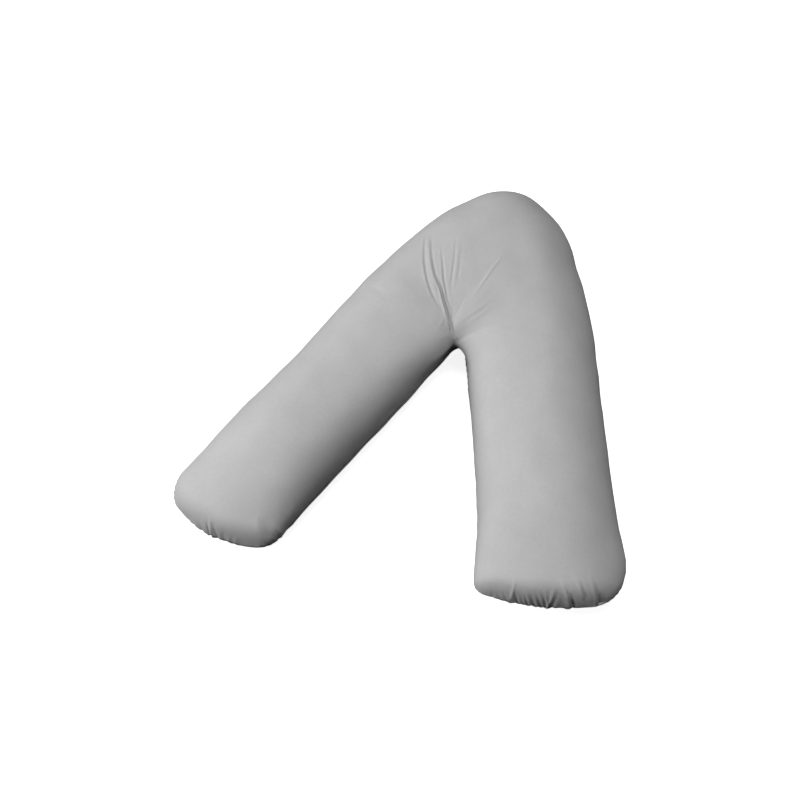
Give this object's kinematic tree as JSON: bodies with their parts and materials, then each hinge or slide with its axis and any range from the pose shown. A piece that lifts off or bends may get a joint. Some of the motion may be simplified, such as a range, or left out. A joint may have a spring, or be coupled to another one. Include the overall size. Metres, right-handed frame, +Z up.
{
  "type": "v-shaped pillow",
  "caption": "Plump v-shaped pillow of plain grey cloth, with a wide rounded bend, filled arms, creases at the crook and gathers at the end seams.",
  "frame": {"origin": "under the middle of the pillow's box, on the surface that it lies on", "axes": "+Z up through the crown, +Y along the middle line of the V towards its point, +X towards the right arm"},
  "size_m": [0.7536, 0.8108, 0.163],
  "materials": {
    "grey_cloth": "matt, softly brushed plain weave"
  },
  "bodies": {
    "root": {"pillow": "grey_cloth"}
  },
  "joints": []
}
